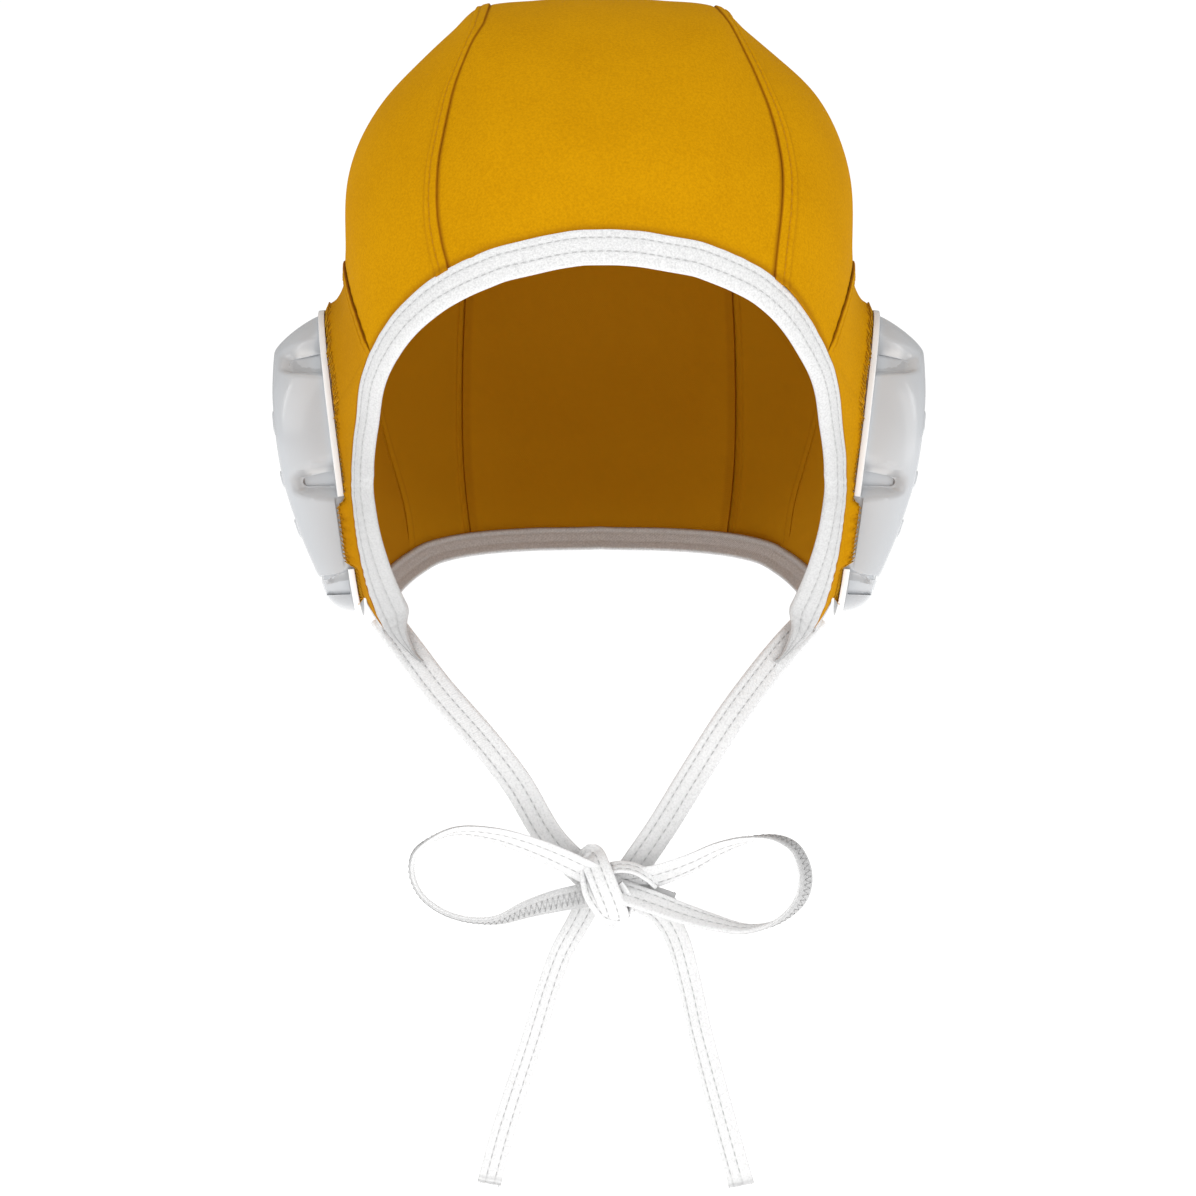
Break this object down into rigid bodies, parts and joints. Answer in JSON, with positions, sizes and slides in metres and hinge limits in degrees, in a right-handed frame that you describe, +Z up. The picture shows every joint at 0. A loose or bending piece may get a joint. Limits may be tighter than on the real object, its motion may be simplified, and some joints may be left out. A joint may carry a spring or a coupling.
{
  "type": "water polo cap",
  "caption": "Fitted cloth cap with a face opening, taped edges, moulded ear guards and tapes tied under the chin in a bow.",
  "frame": {"origin": "inner top of the crown, where the head carries the cap", "axes": "+Z up, -Y out of the face opening, +X to the viewer's right when the cap is seen from the front"},
  "size_m": [0.2008, 0.1965, 0.3597],
  "materials": {
    "cap_cloth": "woven",
    "white_tape": "woven",
    "guard_plastic": "smooth"
  },
  "bodies": {
    "root": {"centre_panel": "cap_cloth", "side_panel_left": "cap_cloth", "side_panel_right": "cap_cloth", "ear_panel_left": "cap_cloth", "ear_panel_right": "cap_cloth", "face_binding": "white_tape", "nape_binding": "white_tape", "tie_left": "white_tape", "tie_right": "white_tape", "bow_loop_left": "white_tape", "bow_loop_right": "white_tape", "bow_tail_left": "white_tape", "bow_tail_right": "white_tape", "bow_knot": "white_tape", "ear_guard_left": "guard_plastic", "ear_guard_right": "guard_plastic"}
  },
  "joints": []
}
